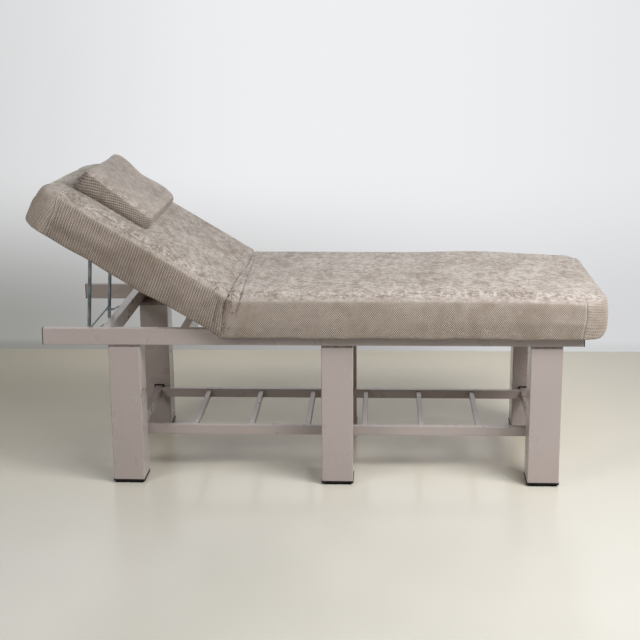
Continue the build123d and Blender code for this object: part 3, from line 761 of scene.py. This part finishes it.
def cover_weave(made, flat, uneven):
    """The cover's sides: ribs on the backrest, twill on the seat, rows on the foot, a lattice at the head."""
    along, across, height = made.split(flat)
    aside = made.math("ABSOLUTE", across)
    ribs_at = made.sum((along, 1.0), (height, 0.19), (uneven, 0.003))
    ribs = made.math("SUBTRACT", knitted(made, ribs_at, height, rib_pitch, rib_stitch), 0.08)
    falling = made.wave(made.sum((along, 1.0), (height, 0.83), (uneven, 0.0008)), twill_pitch)
    rising = made.wave(made.sum((along, 1.0), (height, -0.80), (uneven, 0.0008)), twill_pitch)
    twill = made.between(made.sum((falling, 0.6), (rising, 0.4)), 0.2, 0.8)
    round_foot = made.sum((along, 0.7), (aside, -0.7))
    foot_rows_at = made.sum((height, 1.0), (round_foot, 0.12), (uneven, 0.010))
    foot_rows = knitted(made, foot_rows_at, round_foot, foot_row_pitch, foot_stitch)
    foot_rows = made.math("MULTIPLY_ADD", foot_rows, 0.6, 0.32)
    round_head = made.sum((aside, -0.75), (along, -0.75), (height, 0.12))
    lattice_rows = made.wave(height, lattice_row_pitch)
    lattice = made.sum((made.wave(round_head, lattice_pitch), 0.38), (lattice_rows, 0.38), (0.5, 0.24))
    weave = made.blend_number(made.between(along, -0.03, 0.01), ribs, rising)
    weave = made.blend_number(made.between(along, 0.03, 0.08), weave, twill)
    weave = made.blend_number(at_seam(made, "foot_seam"), weave, foot_rows)
    return made.blend_number(at_seam(made, "head_seam"), weave, lattice)


def toned_side(made, flat, side):
    """The cover's side, browner in places, a little darker on the backrest with painted shade, and lighter
    round the head.
    """
    brown, deep, pale = colour(0.175, 0.130, 0.098), colour(0.03, 0.02, 0.015), colour(0.50, 0.43, 0.37)
    at_head = at_seam(made, "head_seam")
    on_back = made.between(made.split(flat)[0], -0.04, 0.03, 0.10, 0.0)
    clouds = made.noise(made.stretched(flat, (1.0, 1.0, 0.6)), 13.0, 2.0, 0.6)
    side = made.blend(made.between(clouds, 0.46, 0.66, 0.0, 0.38), side, brown)
    # Painted shade: the backrest's side darkened a little.
    side = made.blend(made.blend_number(at_head, on_back, 0.0), side, deep)
    return made.blend(made.math("MULTIPLY", at_head, 0.16), side, pale)


def pillow_weave(made, flat, uneven):
    """The pillow's side weave: rows that fall towards its head side."""
    along, across, height = made.split(flat)
    rows_at = made.sum((height, 1.0), (along, -0.33), (uneven, 0.003))
    stitches_at = made.sum((rows_at, 0.5), (along, 1.0), (across, 1.0))
    rows = made.wave(rows_at, pillow_row_pitch)
    return made.sum((rows, 0.45), (made.wave(stitches_at, pillow_stitch), 0.25), (0.5, 0.3))


def with_seams(made, wall, cloth):
    """The cover's colour with a dark line at each corner seam, partly the seam's own darkness and partly
    painted shade of a groove, and a painted highlight on a pale ridge beside it.
    """
    dark, light = colour(0.10, 0.078, 0.064), colour(0.50, 0.45, 0.41)
    for seam in ("foot_seam", "head_seam"):
        distance = made.stored(seam)
        # Dark line at the seam: partly painted shade of a groove.
        groove = line(made, distance, 0.0006, 0.0028)
        groove = made.math("MULTIPLY", groove, made.math("MULTIPLY", wall, 0.55))
        cloth = made.blend(groove, cloth, dark)
        # Pale line beside the seam: painted highlight on a ridge.
        ridge = line(made, made.math("ADD", distance, 0.0045), 0.0006, 0.003)
        ridge = made.math("MULTIPLY", ridge, made.math("MULTIPLY", wall, 0.35))
        cloth = made.blend(ridge, cloth, light)
    return cloth


def chenille(name, folded_cover):
    """Crushed chenille: mottled pile on top, and the weave showing on the drawn sides, whose colours are
    darker than the top's, partly as painted shade.
    """
    made = Material(name, Roughness=0.92, Sheen_Weight=0.2, Sheen_Roughness=0.5,
                    Sheen_Tint=colour(0.95, 0.90, 0.86), Specular_IOR_Level=0.15)
    flat = made.stored("flat", "Vector")
    ragged = made.math("SUBTRACT", made.noise(flat, 40.0, 3.0, 0.6), 0.5)
    drawn = made.stored("wall")
    wall = made.between(made.math("MULTIPLY_ADD", ragged, 0.9, drawn), 0.12, 0.88)
    calm = made.math("MULTIPLY_ADD", made.stored("rolled"), -0.5, 1.0)
    lying = made.stretched(flat, (1.0, 0.5, 1.0))
    broad = made.noise(lying, 9.0, 2.0, 0.5)
    patches = made.noise(lying, 34.0, 4.0, 0.72, 0.15)
    tufts = made.noise(made.stretched(flat, (0.5, 0.8, 1.0)), 135.0, 2.0, 0.6, 0.2)
    fibres = made.noise(made.stretched(flat, (0.5, 1.0, 1.0)), 330.0, 1.0, 0.5)
    uneven = made.math("SUBTRACT", made.noise(flat, 22.0, 3.0, 0.6), 0.5)
    if folded_cover:
        mottle = made.sum((patches, 0.65), (tufts, 0.85), (fibres, 0.6), (broad, 0.35), (0.5, -1.45))
        mottle = made.math("MULTIPLY_ADD", made.math("SUBTRACT", mottle, 0.5), calm, 0.5)
        mottle_range = (0.24, 0.76)
        weave = cover_weave(made, flat, uneven)
        # The sides' colours are darker than the top's, partly painted shade of the sides.
        side_dark, side_light = colour(0.132, 0.102, 0.080), colour(0.372, 0.322, 0.282)
        top_dark, top_light = colour(0.168, 0.135, 0.110), colour(0.430, 0.392, 0.362)
    else:
        mottle = made.sum((patches, 0.55), (tufts, 0.5), (fibres, 0.6), (broad, 0.3), (0.5, -0.95))
        mottle_range = usual
        weave = pillow_weave(made, flat, uneven)
        # The pillow's side colours are much darker than its top's, partly painted shade of the sides.
        side_dark, side_light = colour(0.095, 0.073, 0.058), colour(0.300, 0.257, 0.224)
        top_dark, top_light = colour(0.215, 0.183, 0.160), colour(0.395, 0.352, 0.320)
    top = made.blend(made.between(mottle, *mottle_range), top_dark, top_light)

    worn = made.between(made.noise(flat, 34.0, 3.0, 0.6), 0.35, 0.7, 1.0, 0.6)
    weave = made.math("MULTIPLY_ADD", made.math("SUBTRACT", weave, 0.5), worn, 0.5)
    shaded = made.sum((weave, 1.0), (patches, 0.55), (fibres, 0.45), (broad, 0.4), (0.5, -1.4))
    side = made.blend(made.between(shaded, 0.05, 0.95), side_dark, side_light)
    if folded_cover:
        side = toned_side(made, flat, side)
    cloth = made.blend(wall, top, side)
    # Painted highlight: a paler band where the cloth rolls over an edge.
    roll = made.math("MULTIPLY", made.math("MULTIPLY", drawn, made.math("SUBTRACT", 1.0, drawn)), 4.0)
    cloth = made.blend(made.math("MULTIPLY", roll, 0.14), cloth, colour(0.46, 0.41, 0.375))
    if folded_cover:
        # Painted shade in the creases and wrinkles at the fold.
        fold_shade_share = made.math("MULTIPLY", painted_crease_shade(made, flat), 0.95)
        cloth = with_seams(made, wall, made.blend(fold_shade_share, cloth, colour(0.04, 0.03, 0.024)))
    made.feed("Base Color", cloth)

    pile = made.bump(made.math("MULTIPLY", patches, calm), 0.42, 0.006)
    made.feed("Normal", made.bump(made.math("MULTIPLY", weave, wall), 0.6, 0.0012, pile))
    return made.material


def give(piece, material):
    """The piece's one material."""
    piece.data.materials.clear()
    piece.data.materials.append(material)


# The scene around the object

def camera():
    """The photograph's view."""
    data = bpy.data.cameras.new("camera")
    data.sensor_width = sensor_width
    data.lens = focal_pixels / picture_pixels * sensor_width
    turn, tip, roll = math.radians(camera_turn), math.radians(camera_tip), math.radians(camera_roll)
    ahead = Vector((math.sin(turn) * math.cos(tip), math.cos(turn) * math.cos(tip), -math.sin(tip)))
    level_right = Vector((math.cos(turn), -math.sin(turn), 0))
    level_up = level_right.cross(ahead)
    right = math.cos(roll) * level_right + math.sin(roll) * level_up
    up = -math.sin(roll) * level_right + math.cos(roll) * level_up
    placed = Matrix((right, up, -ahead)).transposed().to_4x4()
    placed.translation = Vector(camera_place)
    made = bpy.data.objects.new("camera", data)
    made.matrix_world = placed
    bpy.context.scene.collection.objects.link(made)
    bpy.context.scene.camera = made


def soft_light(name, place, target, size, power, tint):
    """A large soft lamp."""
    data = bpy.data.lights.new(name, "AREA")
    data.shape = "RECTANGLE"
    data.size, data.size_y = size
    data.energy = power
    data.color = tint
    made = bpy.data.objects.new(name, data)
    made.location = place
    made.rotation_euler = (Vector(target) - Vector(place)).to_track_quat("-Z", "Y").to_euler()
    bpy.context.scene.collection.objects.link(made)


def seen(made):
    """1 for rays from the camera."""
    return made.tree.nodes.new("ShaderNodeLightPath").outputs["Is Camera Ray"]


def seen_or_mirrored(made):
    """1 for rays from the camera or off a glossy surface."""
    node = made.tree.nodes.new("ShaderNodeLightPath")
    found = made.math("MAXIMUM", node.outputs["Is Camera Ray"], node.outputs["Is Glossy Ray"])
    return made.math("MAXIMUM", found, node.outputs["Is Transmission Ray"])


def show(made, shader):
    """Makes this shader what the material shows."""
    made.tree.links.new(shader, made.tree.nodes["Material Output"].inputs[0])


def floor_piece():
    """A pale floor, warmer toward the wall and darker to the right with painted light and shade, that fades
    into the surroundings.
    """
    reach = floor_reach
    corners = [(-reach, -reach, 0), (reach, -reach, 0), (reach, reach, 0), (-reach, reach, 0)]
    piece = new_piece("floor", corners, [(0, 1, 2, 3)])
    made = Material("floor", Roughness=0.22)
    point = made.place()
    x, y, _ = made.split(point)
    dark, light = colour(0.525, 0.51, 0.465), colour(0.565, 0.55, 0.505)
    base = made.blend(made.between(made.noise(point, 1.1, 2.0), *usual), dark, light)
    # Painted light and shade: warmer toward the wall, darker towards the right.
    base = made.blend(made.between(y, -1.0, 0.8, 0.0, 0.7), base, colour(0.59, 0.53, 0.40))
    base = made.blend(made.between(x, 0.5, 1.4, 0.0, 0.6), base, colour(0.40, 0.39, 0.355))
    made.feed("Base Color", base)
    from_middle = made.add("VectorMath", {0: point}, output="Value", operation="LENGTH")
    pale = made.add("Emission", {"Color": pale_surroundings, "Strength": 1.0})
    far_off = made.math("MULTIPLY", made.between(from_middle, *floor_fades), seen(made))
    show(made, made.add("MixShader", {0: far_off, 1: made.shader.outputs[0], 2: pale}))
    give(piece, made.material)
    return piece


def wall_piece():
    """A pale wall that only shows from the front and casts no shadow. To the camera and in mirrored rays it
    glows, with painted shade that darkens it to the left and low down, and a darker strip along the floor.
    """
    reach, y, top = floor_reach, wall_behind, wall_height
    corners = [(-reach, y, 0), (reach, y, 0), (reach, y, top), (-reach, y, top)]
    piece = new_piece("wall", corners, [(0, 1, 2, 3)])
    made = Material("wall", Roughness=0.9, Base_Color=colour(0.8, 0.8, 0.81))
    x, _, z = made.split(made.place())
    # Painted shade across the wall: darker to the left and a little darker to the right.
    shade = made.blend(made.between(x, -1.8, -0.2), colour(0.665, 0.670, 0.675), colour(0.862, 0.866, 0.882))
    shade = made.blend(made.between(x, 0.3, 1.5, 0.0, 0.75), shade, colour(0.775, 0.780, 0.800))
    # Painted shade low on the wall, strongest at the left.
    low = made.math("MULTIPLY", made.between(z, 0.12, 0.78, 1.0, 0.0), made.between(x, -1.6, 1.0, 0.82, 0.24))
    shade = made.blend(low, shade, colour(0.225, 0.225, 0.205))
    # A darker strip along the floor line.
    near_floor = made.between(z, 0.015, 0.05, 1.0, 0.0)
    at_floor = made.math("MULTIPLY", near_floor, made.between(x, 0.1, 0.8, 0.4, 0.1))
    shade = made.blend(at_floor, shade, colour(0.16, 0.16, 0.15))
    glow = made.add("Emission", {"Color": shade, "Strength": 1.0})
    lit = made.add("MixShader", {0: seen_or_mirrored(made), 1: made.shader.outputs[0], 2: glow})
    behind = made.add("NewGeometry", {}, output="Backfacing")
    show(made, made.add("MixShader", {0: behind, 1: lit, 2: made.add("BsdfTransparent", {})}))
    give(piece, made.material)
    piece.visible_shadow = False
    return piece


def world():
    """A little even light from all round, and a pale background for the camera."""
    made = bpy.data.worlds.new("world")
    made.use_nodes = True
    tree = made.node_tree
    light = tree.nodes["Background"]
    light.inputs[0].default_value = colour(0.96, 0.98, 1.0)
    light.inputs[1].default_value = 0.07
    pale = tree.nodes.new("ShaderNodeBackground")
    pale.inputs[0].default_value = pale_surroundings
    shown = tree.nodes.new("ShaderNodeMixShader")
    tree.links.new(tree.nodes.new("ShaderNodeLightPath").outputs["Is Camera Ray"], shown.inputs[0])
    tree.links.new(light.outputs[0], shown.inputs[1])
    tree.links.new(pale.outputs[0], shown.inputs[2])
    tree.links.new(shown.outputs[0], tree.nodes["World Output"].inputs[0])
    bpy.context.scene.world = made


# Everything together

camera()
world()
floor, wall = floor_piece(), wall_piece()
soft_light("key", (1.9, -1.3, 2.2), (0.6, 0, 0.4), (1.2, 1.2), 84, (1.0, 0.995, 0.985))
soft_light("front", (1.4, -2.4, 2.8), (0.3, 0, 0.4), (1.2, 1.2), 44, (1.0, 1.0, 0.99))
soft_light("left", (-2.4, -2.6, 2.2), (0, 0, 0.4), (1.6, 1.6), 55, (1.0, 0.99, 0.965))

cover = bed_cover()
give(cover, chenille("cover_chenille", True))
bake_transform(cover)
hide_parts("seat_cover", "seat_foam", "backrest_cover", "backrest_foam")

loose_pillow = pillow()
give(loose_pillow, chenille("pillow_chenille", False))
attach(loose_pillow, "pillow")
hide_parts("pillow_cover", "pillow_filling")

zinc_dark, zinc_light = colour(0.20, 0.24, 0.265), colour(0.36, 0.42, 0.46)
steel_dark, steel_light = colour(0.42, 0.42, 0.42), colour(0.62, 0.62, 0.61)
finishes = {
    "frame_paint": enamel(),
    "dark_plate": dark_plate(),
    "black_plastic": black_plastic(),
    "zinc_plate": plated("zinc_plate", zinc_dark, zinc_light, 0.38, (20, 20, 1)),
    "bright_steel": plated("bright_steel", steel_dark, steel_light, 0.34, (1, 8, 8)),
    "plywood": plywood(),
}
for node in frame["nodes"].values():
    if not node.hide_render:
        give(node, finishes[node.data.materials[0].name])

bpy.context.scene.view_settings.view_transform = "Standard"
